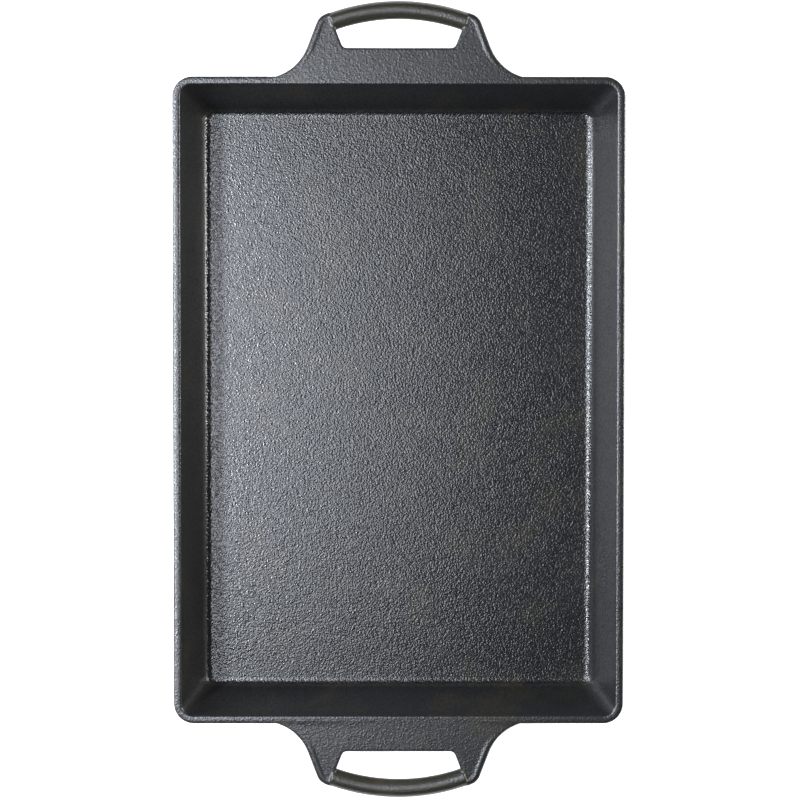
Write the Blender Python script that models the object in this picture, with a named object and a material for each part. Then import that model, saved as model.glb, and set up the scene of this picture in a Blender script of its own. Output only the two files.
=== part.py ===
"""Cast iron baking pan: a deep rectangular tray with a looped handle at each short end.

Metres, +Z up. X runs across the pan, Y runs along it from handle to handle, and the origin is
the centre of the flat underside. The real pan is poured in one piece, so it is modelled whole
first. Two upright planes just past the rim's ends then divide it into the tray and its handles.
"""

import math

import bmesh
import bpy
from mathutils import Matrix, Vector

# Tray, with its outside sizes taken at the rim
RIM_WIDTH = 0.2755
RIM_LENGTH = 0.3950
TRAY_HEIGHT = 0.0500
FLOOR_THICKNESS = 0.0050
RIM_LAND = 0.0049
WALL_DRAFT = math.radians(11.5)
OUTER_CORNER_RADIUS = 0.0122
INNER_CORNER_RADIUS = 0.0073
FLOOR_FILLET = 0.0052
BASE_ROUNDING = 0.0055
RIM_OUTER_ROUNDING = 0.0020
RIM_INNER_ROUNDING = 0.0010

# Grip bar, bent along an arc that is centred on the pan's long axis
GRIP_REACH = 0.0460
GRIP_DIAMETER = 0.0110
GRIP_ARC_RADIUS = 0.1208
GRIP_RISE = 0.0015
GRIP_SIDE_RISE = 0.0003

# Handle plate, flush with the rim, and its two arms
PLATE_THICKNESS = 0.0065
PLATE_ROUNDING = 0.0014
ARM_HALF_WIDTH = 0.0622
ARM_SLOPE = math.radians(20.9)
ARM_WIDTH = 0.0218
ARM_LAP = 0.0012
SHOULDER_WIDTH = 0.00576
SHOULDER_RADIUS = 0.0090
FLARE_RADIUS = 0.0300
FLARE_SINK = 0.0015
FLARE_RUNOUT = 0.0080

# Finger opening between the plate and the grip bar
OPENING_DISTANCE = 0.0171
OPENING_CORNER_RADIUS = 0.0033

# Raised edge along each arm: full at the grip, and sinking into the plate along the flare
EDGE_BEAD_RADIUS = 0.0030
EDGE_BEAD_RISE = 0.0008
EDGE_BEAD_SIDE_RISE = 0.0003
EDGE_BEAD_SINK = 0.0003
EDGE_BEAD_LAP = 0.0005
EDGE_BEAD_START_SHARE = 0.8
EDGE_BEAD_LEVEL_SHARE = 0.45
EDGE_BEAD_LEFT_OUT_STEPS = 2

# Fillet under the plate, where it joins the tray's wall
ROOT_FILLET_RADIUS = 0.0080
ROOT_SINK = 0.0003
ROOT_LAP = 0.0010

# How far past the rim's end each handle is divided from the tray
HANDLE_PLANE_DISTANCE = 0.0020

# Smoothness of the round stretches
CORNER_STEPS = 8
ROUNDING_STEPS = 4
RIM_STEPS = 3
ARC_STEPS = 8
FLARE_STEPS = 6
GRIP_STEPS = 24
GRIP_ROUNDNESS = 6
EDGE_BEAD_ROUNDNESS = 3
SHARP_ANGLE = math.radians(35.0)

# How far a solid reaches past the plane that trims it, and what counts as the same place
CUT_CLEARANCE = 0.0050
SAME_PLACE = 0.000002
TRIM_TOLERANCE = 0.0000002

IRON_COLOUR = (0.020, 0.020, 0.021, 1.0)
IRON_ROUGHNESS = 0.45
IRON_METALLIC = 0.6

RIM_END = RIM_LENGTH / 2
HANDLE_PLANE = RIM_END + HANDLE_PLANE_DISTANCE
PAST_GRIP = RIM_END + 2 * GRIP_REACH
PAST_SIDES = 2 * RIM_WIDTH
PLATE_UNDERSIDE = TRAY_HEIGHT - PLATE_THICKNESS
GRIP_OUTER_RADIUS = GRIP_ARC_RADIUS + GRIP_DIAMETER / 2
GRIP_INNER_RADIUS = GRIP_ARC_RADIUS - GRIP_DIAMETER / 2
ARC_CENTRE = RIM_END + GRIP_REACH - GRIP_OUTER_RADIUS
OPENING_HALF_WIDTH = ARM_HALF_WIDTH - OPENING_DISTANCE * math.tan(ARM_SLOPE) - ARM_WIDTH

# Stands a section upright across the pan: its x runs along Y, its y up Z and its depth along X
SECTION_ACROSS_PAN = Matrix(((0, 0, 1, 0), (1, 0, 0, 0), (0, 1, 0, 0), (0, 0, 0, 1)))


def clear_scene():
    """Remove whatever objects the file starts with."""
    for item in list(bpy.data.objects):
        bpy.data.objects.remove(item, do_unlink=True)


def new_collection(name):
    """Make a collection in the scene."""
    collection = bpy.data.collections.new(name)
    bpy.context.scene.collection.children.link(collection)
    return collection


def new_object(name, data, collection):
    """Make an object of a mesh or a curve."""
    item = bpy.data.objects.new(name, data)
    collection.objects.link(item)
    return item


def object_from_bmesh(name, bm, collection):
    """Turn a bmesh into an object and free the bmesh."""
    mesh = bpy.data.meshes.new(name)
    bm.to_mesh(mesh)
    bm.free()
    return new_object(name, mesh, collection)


def evaluated_bmesh(item):
    """Read an object with its modifiers into a bmesh in world space."""
    graph = bpy.context.evaluated_depsgraph_get()
    mesh = bpy.data.meshes.new_from_object(item.evaluated_get(graph))
    bm = bmesh.new()
    bm.from_mesh(mesh)
    bm.transform(item.matrix_world)
    bpy.data.meshes.remove(mesh)
    return bm


def discard(*items):
    """Remove objects that have been used up."""
    for item in items:
        bpy.data.objects.remove(item, do_unlink=True)


def combined(name, base, others, operation, collection):
    """Join, cut or intersect a solid with others, and return the one solid that results."""
    for other in others:
        modifier = base.modifiers.new(operation.title(), "BOOLEAN")
        modifier.operation = operation
        modifier.solver = "EXACT"
        modifier.object = other
    bm = evaluated_bmesh(base)
    discard(base, *others)
    return object_from_bmesh(name, bm, collection)


def round_edges(bm, edges, radius, steps):
    """Round the given edges to a radius."""
    bmesh.ops.bevel(
        bm,
        geom=edges,
        offset=radius,
        offset_type="OFFSET",
        segments=steps,
        profile=0.5,
        affect="EDGES",
        clamp_overlap=False,
    )


def is_level(item, height):
    """Say whether a face or an edge lies level at one height."""
    return all(abs(vert.co.z - height) < SAME_PLACE for vert in item.verts)


def tapered_box(name, width, length, bottom, top, corner_radius, bottom_rounding, collection):
    """Box that narrows downwards by the wall draft, with rounded corners and bottom edge."""
    bm = bmesh.new()
    bmesh.ops.create_cube(bm, size=1.0)
    draft_inset = (top - bottom) * math.tan(WALL_DRAFT)
    for vert in bm.verts:
        inset = draft_inset if vert.co.z < 0 else 0.0
        vert.co.x = math.copysign(width / 2 - inset, vert.co.x)
        vert.co.y = math.copysign(length / 2 - inset, vert.co.y)
        vert.co.z = bottom if vert.co.z < 0 else top
    upright = [edge for edge in bm.edges if edge.verts[0].co.z != edge.verts[1].co.z]
    round_edges(bm, upright, corner_radius, CORNER_STEPS)
    foot = [edge for edge in bm.edges if is_level(edge, bottom)]
    round_edges(bm, foot, bottom_rounding, ROUNDING_STEPS)
    return object_from_bmesh(name, bm, collection)


def make_block(collection):
    """Solid block of the tray's outside shape, left taller than the rim."""
    top = TRAY_HEIGHT + CUT_CLEARANCE
    widening = 2 * CUT_CLEARANCE * math.tan(WALL_DRAFT)
    return tapered_box(
        "tray_block", RIM_WIDTH + widening, RIM_LENGTH + widening, 0.0, top,
        OUTER_CORNER_RADIUS, BASE_ROUNDING, collection,
    )


def make_cavity(collection):
    """Cutter for the inside of the tray."""
    top = TRAY_HEIGHT + CUT_CLEARANCE
    widening = 2 * (CUT_CLEARANCE * math.tan(WALL_DRAFT) - RIM_LAND)
    return tapered_box(
        "tray_cavity", RIM_WIDTH + widening, RIM_LENGTH + widening, FLOOR_THICKNESS, top,
        INNER_CORNER_RADIUS, FLOOR_FILLET, collection,
    )


def on_arc(radius, angle):
    """Point on an arc about the grip's centre, at an angle from the pan's long axis."""
    return Vector((radius * math.sin(angle), ARC_CENTRE + radius * math.cos(angle)))


def rounded_corner(before, corner, after, radius, steps):
    """Points of the arc that rounds one corner of an outline."""
    towards_before = (before - corner).normalized()
    towards_after = (after - corner).normalized()
    half_angle = towards_before.angle(towards_after) / 2
    reach = radius / math.tan(half_angle)
    centre = corner + (towards_before + towards_after).normalized() * radius / math.sin(half_angle)
    start = corner + towards_before * reach - centre
    end = corner + towards_after * reach - centre
    turn = start.angle_signed(end)
    points = []
    for step in range(steps + 1):
        points.append(centre + Matrix.Rotation(-turn * step / steps, 2) @ start)
    return points


def shoulder_corner():
    """Corner where the line of the arm's outer side meets the grip's outer arc."""
    foot = Vector((ARM_HALF_WIDTH, RIM_END))
    rising = Vector((-math.sin(ARM_SLOPE), math.cos(ARM_SLOPE)))
    from_centre = foot - Vector((0.0, ARC_CENTRE))
    along = from_centre.dot(rising)
    gap = from_centre.length_squared - (GRIP_OUTER_RADIUS - GRIP_SIDE_RISE) ** 2
    return foot + rising * (math.sqrt(along ** 2 - gap) - along)


def bar_angle(lap):
    """Angle of a place in the grip bar, a lap short of its end, which lies past the shoulder."""
    shoulder = shoulder_corner()
    shoulder_angle = math.atan2(shoulder.x, shoulder.y - ARC_CENTRE)
    return shoulder_angle - SHOULDER_WIDTH / GRIP_OUTER_RADIUS - lap / GRIP_ARC_RADIUS


def arm_side(lap, shoulder_steps, flare_steps):
    """Outer side of the right arm: from the grip, round the shoulder and out along the flare."""
    arm_end = on_arc(GRIP_OUTER_RADIUS - GRIP_SIDE_RISE, bar_angle(lap))
    shoulder = shoulder_corner()
    flare = Vector((ARM_HALF_WIDTH + FLARE_SINK * math.tan(ARM_SLOPE), RIM_END - FLARE_SINK))
    along_rim = flare + Vector((FLARE_RADIUS, 0.0))
    points = [arm_end]
    points += rounded_corner(arm_end, shoulder, flare, SHOULDER_RADIUS, shoulder_steps)
    points += rounded_corner(shoulder, flare, along_rim, FLARE_RADIUS, flare_steps)
    return points


def plate_outline():
    """Closed outline of the plate and its two arms, open where the grip bar will bridge them."""
    arm_end = on_arc(GRIP_INNER_RADIUS + GRIP_SIDE_RISE, bar_angle(ARM_LAP))
    opening_side = Vector((OPENING_HALF_WIDTH, RIM_END + OPENING_DISTANCE))
    opening_middle = Vector((0.0, opening_side.y))
    right = rounded_corner(
        opening_middle, opening_side, arm_end, OPENING_CORNER_RADIUS, ARC_STEPS // 2
    )
    right.append(arm_end)
    right += arm_side(ARM_LAP, ARC_STEPS, FLARE_STEPS)
    right.append(Vector((right[-1].x + FLARE_RUNOUT, RIM_END - RIM_LAND)))
    left = [Vector((-point.x, point.y)) for point in reversed(right)]
    return right + left


def mesh_from_curve(drawn, collection):
    """Turn a curve object into a mesh object with its caps welded on."""
    bm = evaluated_bmesh(drawn)
    name = drawn.name
    discard(drawn)
    bmesh.ops.remove_doubles(bm, verts=bm.verts, dist=SAME_PLACE)
    bmesh.ops.recalc_face_normals(bm, faces=bm.faces)
    return object_from_bmesh(name, bm, collection)


def outline_solid(name, outline, thickness, collection):
    """Plate of one thickness over a closed outline, centred on z = 0, as a mesh."""
    curve = bpy.data.curves.new(name, "CURVE")
    curve.dimensions = "2D"
    curve.fill_mode = "BOTH"
    curve.extrude = thickness / 2
    spline = curve.splines.new("POLY")
    spline.points.add(len(outline) - 1)
    for point, place in zip(spline.points, outline):
        point.co = (place.x, place.y, 0.0, 1.0)
    spline.use_cyclic_u = True
    return mesh_from_curve(new_object(name, curve, collection), collection)


def rod(name, path, radius, fullness, roundness, collection):
    """Round rod along a path of 3-D points, with a share of its radius at each, as a mesh."""
    curve = bpy.data.curves.new(name, "CURVE")
    curve.dimensions = "3D"
    curve.bevel_depth = radius
    curve.bevel_resolution = roundness
    curve.use_fill_caps = True
    spline = curve.splines.new("POLY")
    spline.points.add(len(path) - 1)
    for point, place, share in zip(spline.points, path, fullness):
        point.co = (place.x, place.y, place.z, 1.0)
        point.radius = share
    return mesh_from_curve(new_object(name, curve, collection), collection)


def place_mesh(item, matrix):
    """Move an object's mesh, so that the object itself stays at the origin."""
    item.data.transform(matrix)
    return item


def make_plate(collection):
    """Handle plate, taller than the rim, with a concave fillet under it at the tray's wall."""
    low = PLATE_UNDERSIDE - ROOT_FILLET_RADIUS - ROOT_LAP
    high = TRAY_HEIGHT + CUT_CLEARANCE / 2
    plate = outline_solid("handle_plate", plate_outline(), high - low, collection)
    place_mesh(plate, Matrix.Translation((0.0, 0.0, (high + low) / 2)))
    wall = RIM_END - ROOT_SINK - PLATE_THICKNESS * math.tan(WALL_DRAFT)
    corner = Vector((wall, PLATE_UNDERSIDE))
    far = Vector((PAST_GRIP, PLATE_UNDERSIDE))
    foot = Vector((wall - PLATE_UNDERSIDE * math.tan(WALL_DRAFT), 0.0))
    section = [far] + rounded_corner(far, corner, foot, ROOT_FILLET_RADIUS, ARC_STEPS)
    section += [foot, Vector((PAST_GRIP, 0.0))]
    scoop = outline_solid("plate_scoop", section, PAST_SIDES, collection)
    place_mesh(scoop, SECTION_ACROSS_PAN)
    return combined("handle_plate", plate, [scoop], "DIFFERENCE", collection)


def trim_at_rim(item, collection):
    """Cut a solid level with the rim, so that rim and handle plates share one flat top."""
    bm = bmesh.new()
    bm.from_mesh(item.data)
    bmesh.ops.bisect_plane(
        bm,
        geom=bm.verts[:] + bm.edges[:] + bm.faces[:],
        dist=TRIM_TOLERANCE,
        plane_co=(0.0, 0.0, TRAY_HEIGHT),
        plane_no=(0.0, 0.0, 1.0),
        clear_outer=True,
    )
    open_edges = [edge for edge in bm.edges if edge.is_boundary]
    bmesh.ops.contextual_create(bm, geom=open_edges)
    discard(item)
    return object_from_bmesh("trimmed_block", bm, collection)


def border_edges(bm, height):
    """Convex edges at one height that have a level face on one side only."""
    found = []
    for edge in bm.edges:
        if edge.is_convex and is_level(edge, height):
            level = [face for face in edge.link_faces if is_level(face, height)]
            if len(level) == 1:
                found.append(edge)
    return found


def is_inner_rim_edge(edge):
    """Say whether an edge of the rim tops the tray's inside, whose walls face the middle."""
    middle = (edge.verts[0].co + edge.verts[1].co) / 2
    wall = min(edge.link_faces, key=lambda face: abs(face.normal.z))
    return abs(middle.y) < RIM_END and wall.normal.xy.dot(middle.xy) < 0


def round_casting(item, collection):
    """Round the rim inside and out, and the edges of the handle plates."""
    bm = bmesh.new()
    bm.from_mesh(item.data)
    bm.normal_update()
    rim = border_edges(bm, TRAY_HEIGHT)
    inner_rim = [edge for edge in rim if is_inner_rim_edge(edge)]
    outer_rim = [edge for edge in rim if not is_inner_rim_edge(edge)]
    underside = border_edges(bm, PLATE_UNDERSIDE)
    round_edges(bm, inner_rim, RIM_INNER_ROUNDING, RIM_STEPS)
    round_edges(bm, outer_rim, RIM_OUTER_ROUNDING, RIM_STEPS)
    round_edges(bm, underside, PLATE_ROUNDING, RIM_STEPS)
    discard(item)
    return object_from_bmesh("rounded_block", bm, collection)


def make_grip_bar(collection):
    """Round bar that bridges the two arms."""
    height = TRAY_HEIGHT + GRIP_RISE - GRIP_DIAMETER / 2
    half_angle = bar_angle(0.0)
    path = []
    for step in range(GRIP_STEPS + 1):
        angle = half_angle * (2 * step / GRIP_STEPS - 1)
        path.append(on_arc(GRIP_ARC_RADIUS, angle).to_3d() + Vector((0.0, 0.0, height)))
    fullness = [1.0] * len(path)
    return rod("grip_bar", path, GRIP_DIAMETER / 2, fullness, GRIP_ROUNDNESS, collection)


def inset_path(points, distance):
    """Move an open path sideways, to its right, by a distance."""
    moved = []
    for index, point in enumerate(points):
        before = points[max(index - 1, 0)]
        after = points[min(index + 1, len(points) - 1)]
        along = (after - before).normalized()
        moved.append(point + Vector((along.y, -along.x)) * distance)
    return moved


def make_edge_bead(name, side, collection):
    """Raised edge of one arm, which sinks into the plate along the flare."""
    height = TRAY_HEIGHT + EDGE_BEAD_RISE - EDGE_BEAD_RADIUS
    side_path = arm_side(EDGE_BEAD_LAP, ARC_STEPS - 1, FLARE_STEPS - 1)
    flat_path = inset_path(side_path, EDGE_BEAD_RADIUS - EDGE_BEAD_SIDE_RISE)
    flat_path = flat_path[:-EDGE_BEAD_LEFT_OUT_STEPS]
    lengths = [0.0]
    for before, after in zip(flat_path, flat_path[1:]):
        lengths.append(lengths[-1] + (after - before).length)
    path = []
    for point, length in zip(flat_path, lengths):
        past_level = max(0.0, length / lengths[-1] - EDGE_BEAD_LEVEL_SHARE)
        drop = (EDGE_BEAD_RISE + EDGE_BEAD_SINK) * past_level / (1.0 - EDGE_BEAD_LEVEL_SHARE)
        path.append(Vector((side * point.x, point.y, height - drop)))
    fullness = [EDGE_BEAD_START_SHARE] + [1.0] * (len(path) - 1)
    return rod(name, path, EDGE_BEAD_RADIUS, fullness, EDGE_BEAD_ROUNDNESS, collection)


def turned_copy(item, name, collection):
    """Copy of a solid, turned half round about the upright axis."""
    copy = new_object(name, item.data.copy(), collection)
    return place_mesh(copy, Matrix.Rotation(math.pi, 4, "Z"))


def with_turned_copies(items, collection):
    """The given solids of the back handle, and their copies for the front handle."""
    return items + [turned_copy(item, item.name + "_front", collection) for item in items]


def make_casting(collection):
    """The whole pan as it is poured: tray and both handles in one solid."""
    plates = with_turned_copies([make_plate(collection)], collection)
    block = combined("whole_block", make_block(collection), plates, "UNION", collection)
    block = trim_at_rim(block, collection)
    hollow = combined("hollow_block", block, [make_cavity(collection)], "DIFFERENCE", collection)
    hollow = round_casting(hollow, collection)
    bars = [
        make_grip_bar(collection),
        make_edge_bead("edge_bead_right", 1, collection),
        make_edge_bead("edge_bead_left", -1, collection),
    ]
    bars = with_turned_copies(bars, collection)
    return combined("pan_casting", hollow, bars, "UNION", collection)


def slab(name, y_low, y_high, collection):
    """Box that holds everything between two planes across Y."""
    bm = bmesh.new()
    bmesh.ops.create_cube(bm, size=2 * PAST_SIDES)
    for vert in bm.verts:
        vert.co.y = y_low if vert.co.y < 0 else y_high
    return object_from_bmesh(name, bm, collection)


def iron_material(name):
    """Seasoned black iron."""
    material = bpy.data.materials.new(name)
    material.use_nodes = True
    shader = material.node_tree.nodes["Principled BSDF"]
    shader.inputs["Base Color"].default_value = IRON_COLOUR
    shader.inputs["Roughness"].default_value = IRON_ROUGHNESS
    shader.inputs["Metallic"].default_value = IRON_METALLIC
    return material


def finish_part(item):
    """Shade a finished part smooth, with its true edges sharp, and give it its iron."""
    item.data.shade_smooth()
    item.data.set_sharp_from_angle(angle=SHARP_ANGLE)
    item.data.materials.append(iron_material(item.name + "_iron"))


def divide_casting(casting, collection):
    """Divide the casting at the two handle planes into three solids that meet face to face."""
    spans = {
        "tray": (-HANDLE_PLANE, HANDLE_PLANE),
        "handle_back": (HANDLE_PLANE, PAST_GRIP),
        "handle_front": (-PAST_GRIP, -HANDLE_PLANE),
    }
    for name, (y_low, y_high) in spans.items():
        copy = new_object(name + "_whole", casting.data.copy(), collection)
        span = slab(name + "_span", y_low, y_high, collection)
        finish_part(combined(name, copy, [span], "INTERSECT", collection))
    discard(casting)


def main():
    """Build the pan."""
    clear_scene()
    pan = new_collection("cast_iron_baking_pan")
    divide_casting(make_casting(pan), pan)


main()
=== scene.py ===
"""Looks of the cast iron baking pan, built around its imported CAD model.

Metres, +Z up. X runs across the pan and Y along it, from handle to handle. The pan is one
casting, seasoned black: a tray with a pebbled floor, and a looped handle at each short end.
"""

import logging
import math
from dataclasses import dataclass, field
from enum import Enum

import bmesh
import bpy
from mathutils import Matrix, Vector


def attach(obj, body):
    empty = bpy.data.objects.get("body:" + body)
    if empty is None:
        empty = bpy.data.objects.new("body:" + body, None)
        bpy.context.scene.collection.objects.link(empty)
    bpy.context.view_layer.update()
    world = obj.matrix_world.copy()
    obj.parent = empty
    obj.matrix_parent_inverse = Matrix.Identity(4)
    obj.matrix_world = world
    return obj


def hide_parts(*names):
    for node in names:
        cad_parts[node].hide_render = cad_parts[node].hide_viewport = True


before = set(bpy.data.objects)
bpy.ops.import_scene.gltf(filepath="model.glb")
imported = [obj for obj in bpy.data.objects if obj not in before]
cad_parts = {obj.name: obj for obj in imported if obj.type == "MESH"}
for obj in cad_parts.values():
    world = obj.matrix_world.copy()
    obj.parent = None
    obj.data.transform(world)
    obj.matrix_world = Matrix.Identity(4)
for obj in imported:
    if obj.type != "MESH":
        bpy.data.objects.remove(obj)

LOG = logging.getLogger("baking_pan")
BODY = "root"

SAME_PLACE = 0.000002
TRIM_TOLERANCE = 0.0000002
CUT_CLEARANCE = 0.0050
MILLIMETRE = 0.001
SHARP_ANGLE = math.radians(60.0)

Ring = list[Vector]
Place = tuple[float, float, float]
Colour = tuple[float, float, float]
Number = float | bpy.types.NodeSocket
Tint = tuple[float, float, float, float] | bpy.types.NodeSocket

COOL_LIGHT: Colour = (0.86, 0.91, 1.0)


class Zone(Enum):
    """Part of the casting's skin, and the name of the point attribute that marks it."""

    FLOOR = "floor_zone"
    WALL = "wall_zone"
    GRIP = "grip_zone"


class Side(Enum):
    """Side of the long axis that an edge bead lies on."""

    RIGHT = 1
    LEFT = -1


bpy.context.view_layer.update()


def new_object(name: str, data: bpy.types.ID) -> bpy.types.Object:
    """Make an object of a mesh, a light or a camera, and put it in the scene.

    Args:
        name: Name of the object.
        data: What the object shows.

    Returns:
        The new object, at the origin.
    """
    item = bpy.data.objects.new(name, data)
    bpy.context.scene.collection.objects.link(item)
    return item


def object_from_bmesh(name: str, bm: bmesh.types.BMesh) -> bpy.types.Object:
    """Turn a bmesh into an object, and free the bmesh.

    Args:
        name: Name of the object and its mesh.
        bm: The mesh, in its place.

    Returns:
        The new object.
    """
    mesh = bpy.data.meshes.new(name)
    bm.to_mesh(mesh)
    bm.free()
    return new_object(name, mesh)


def discard(*items: bpy.types.Object) -> None:
    """Remove objects that have been used up."""
    for item in items:
        bpy.data.objects.remove(item, do_unlink=True)


def with_modifiers_applied(item: bpy.types.Object, name: str) -> bpy.types.Object:
    """Turn an object and its live modifiers into a plain mesh object.

    Args:
        item: Object with modifiers. It is removed.
        name: Name of the object that takes its place.

    Returns:
        The plain object.
    """
    graph = bpy.context.evaluated_depsgraph_get()
    mesh = bpy.data.meshes.new_from_object(
        item.evaluated_get(graph), preserve_all_data_layers=True, depsgraph=graph
    )
    discard(item)
    mesh.name = name
    return new_object(name, mesh)


def combined(
    name: str, base: bpy.types.Object, others: list[bpy.types.Object], operation: str
) -> bpy.types.Object:
    """Join, cut or intersect a solid with others.

    Args:
        name: Name of the solid that results.
        base: First solid. It is removed.
        others: The other solids. They are removed.
        operation: UNION, DIFFERENCE or INTERSECT.

    Returns:
        The one solid that results.
    """
    for other in others:
        modifier = base.modifiers.new(operation.title(), "BOOLEAN")
        modifier.operation = operation
        modifier.solver = "EXACT"
        modifier.object = other
    result = with_modifiers_applied(base, name)
    discard(*others)
    return result


def round_edges(
    bm: bmesh.types.BMesh, edges: list[bmesh.types.BMEdge], radius: float, steps: int
) -> None:
    """Round the given edges to a radius.

    Args:
        bm: Mesh that holds the edges.
        edges: Edges to round.
        radius: How far the rounding reaches from the edge.
        steps: Faces across the rounding.
    """
    bmesh.ops.bevel(
        bm,
        geom=edges,
        offset=radius,
        offset_type="OFFSET",
        segments=steps,
        profile=0.5,
        affect="EDGES",
        clamp_overlap=False,
    )


def is_level(item: bmesh.types.BMFace | bmesh.types.BMEdge, height: float) -> bool:
    """Say whether a face or an edge lies level at one height."""
    return all(abs(vert.co.z - height) < SAME_PLACE for vert in item.verts)


def border_edges(bm: bmesh.types.BMesh, height: float) -> list[bmesh.types.BMEdge]:
    """Find the convex edges at one height that have a level face on one side only.

    Args:
        bm: Mesh to search, with its normals up to date.
        height: Height of the level face.

    Returns:
        The edges that border the level face.
    """
    found = []
    for edge in bm.edges:
        if edge.is_convex and is_level(edge, height):
            level = [face for face in edge.link_faces if is_level(face, height)]
            if len(level) == 1:
                found.append(edge)
    return found


def rounded_corner(
    before: Vector, corner: Vector, after: Vector, radius: float, steps: int
) -> Ring:
    """Round one corner of an outline.

    Args:
        before: Point of the outline before the corner.
        corner: The corner.
        after: Point of the outline after the corner.
        radius: Radius of the arc.
        steps: Stretches along the arc.

    Returns:
        The points of the arc.
    """
    towards_before = (before - corner).normalized()
    towards_after = (after - corner).normalized()
    half_angle = towards_before.angle(towards_after) / 2
    reach = radius / math.tan(half_angle)
    centre = corner + (towards_before + towards_after).normalized() * radius / math.sin(half_angle)
    start = corner + towards_before * reach - centre
    end = corner + towards_after * reach - centre
    turn = start.angle_signed(end)
    points = []
    for step in range(steps + 1):
        points.append(centre + Matrix.Rotation(-turn * step / steps, 2) @ start)
    return points


def prism(name: str, outline: Ring, low: float, high: float) -> bpy.types.Object:
    """Upright solid over a closed outline.

    Args:
        name: Name of the solid.
        outline: Corners of the outline, in order.
        low: Height of the bottom.
        high: Height of the top.

    Returns:
        The solid.
    """
    bm = bmesh.new()
    bottom = [bm.verts.new((point.x, point.y, low)) for point in outline]
    face = bm.faces.new(bottom)
    raised = bmesh.ops.extrude_face_region(bm, geom=[face])
    for vert in raised["geom"]:
        if isinstance(vert, bmesh.types.BMVert):
            vert.co.z = high
    bmesh.ops.recalc_face_normals(bm, faces=bm.faces)
    return object_from_bmesh(name, bm)


def smooth_step(value: float, start: float, end: float) -> float:
    """Rise gently from 0 at the start to 1 at the end."""
    share = min(1.0, max(0.0, (value - start) / (end - start)))
    return share * share * (3.0 - 2.0 * share)


def write_zone(mesh: bpy.types.Mesh, zone: Zone, values: list[float]) -> None:
    """Store one number for each point of a mesh under the zone's attribute name."""
    layer = mesh.attributes.new(zone.value, "FLOAT", "POINT")
    layer.data.foreach_set("value", values)


class NodeBuilder:
    """Adds nodes and links to one node tree, so that a tree reads as a list of steps."""

    def __init__(self, tree: bpy.types.NodeTree) -> None:
        """Keep the tree that is being built."""
        self.tree = tree

    def add(
        self, kind: str, settings: dict | None = None, inputs: dict | None = None
    ) -> bpy.types.Node:
        """Add a node.

        Args:
            kind: Blender's name of the node type.
            settings: Properties of the node.
            inputs: Plain values or linked sockets, by the input's name or number.

        Returns:
            The new node.
        """
        node = self.tree.nodes.new(kind)
        for key, value in (settings or {}).items():
            setattr(node, key, value)
        for key, value in (inputs or {}).items():
            if isinstance(value, bpy.types.NodeSocket):
                self.tree.links.new(value, node.inputs[key])
            else:
                node.inputs[key].default_value = value
        return node

    def math(
        self, operation: str, first: Number, second: Number = 0.0, third: Number = 0.0
    ) -> bpy.types.NodeSocket:
        """Add a Math node and return its result."""
        node = self.add("ShaderNodeMath", {"operation": operation}, {0: first, 1: second, 2: third})
        return node.outputs[0]

    def remap(
        self, value: Number, low: float, high: float, to_low: float, to_high: float
    ) -> bpy.types.NodeSocket:
        """Add a smooth Map Range node.

        Args:
            value: Number to map.
            low: Value at which the result is to_low.
            high: Value at which the result is to_high.
            to_low: Result at the low value and below.
            to_high: Result at the high value and above.

        Returns:
            The node's result.
        """
        node = self.add(
            "ShaderNodeMapRange",
            {"interpolation_type": "SMOOTHSTEP"},
            {"Value": value, 1: low, 2: high, 3: to_low, 4: to_high},
        )
        return node.outputs[0]

    def mix(self, share: Number, first: Number, second: Number) -> bpy.types.NodeSocket:
        """Add a Mix node for numbers and return its result."""
        node = self.add("ShaderNodeMix", {"data_type": "FLOAT"}, {0: share, 2: first, 3: second})
        return node.outputs[0]

    def mix_colour(self, share: Number, first: Tint, second: Tint) -> bpy.types.NodeSocket:
        """Add a Mix node for colours and return its result."""
        node = self.add("ShaderNodeMix", {"data_type": "RGBA"}, {0: share, 6: first, 7: second})
        return node.outputs[2]


def add_sockets(tree: bpy.types.NodeTree, in_out: str, sockets: dict[str, tuple]) -> None:
    """Give a node group its named sockets.

    Args:
        tree: The group.
        in_out: INPUT or OUTPUT.
        sockets: Socket type and default value, or None for no default, by name.
    """
    for name, (kind, default) in sockets.items():
        socket = tree.interface.new_socket(name, in_out=in_out, socket_type=kind)
        if default is not None:
            socket.default_value = default


def set_tree_inputs(modifier: bpy.types.NodesModifier, values: dict) -> None:
    """Set a Geometry Nodes modifier's inputs, found by name and set by identifier.

    Args:
        modifier: The modifier.
        values: Value of each input, by the input's name.
    """
    for item in modifier.node_group.interface.items_tree:
        if item.item_type == "SOCKET" and item.in_out == "INPUT" and item.name in values:
            modifier[item.identifier] = values[item.name]


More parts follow.
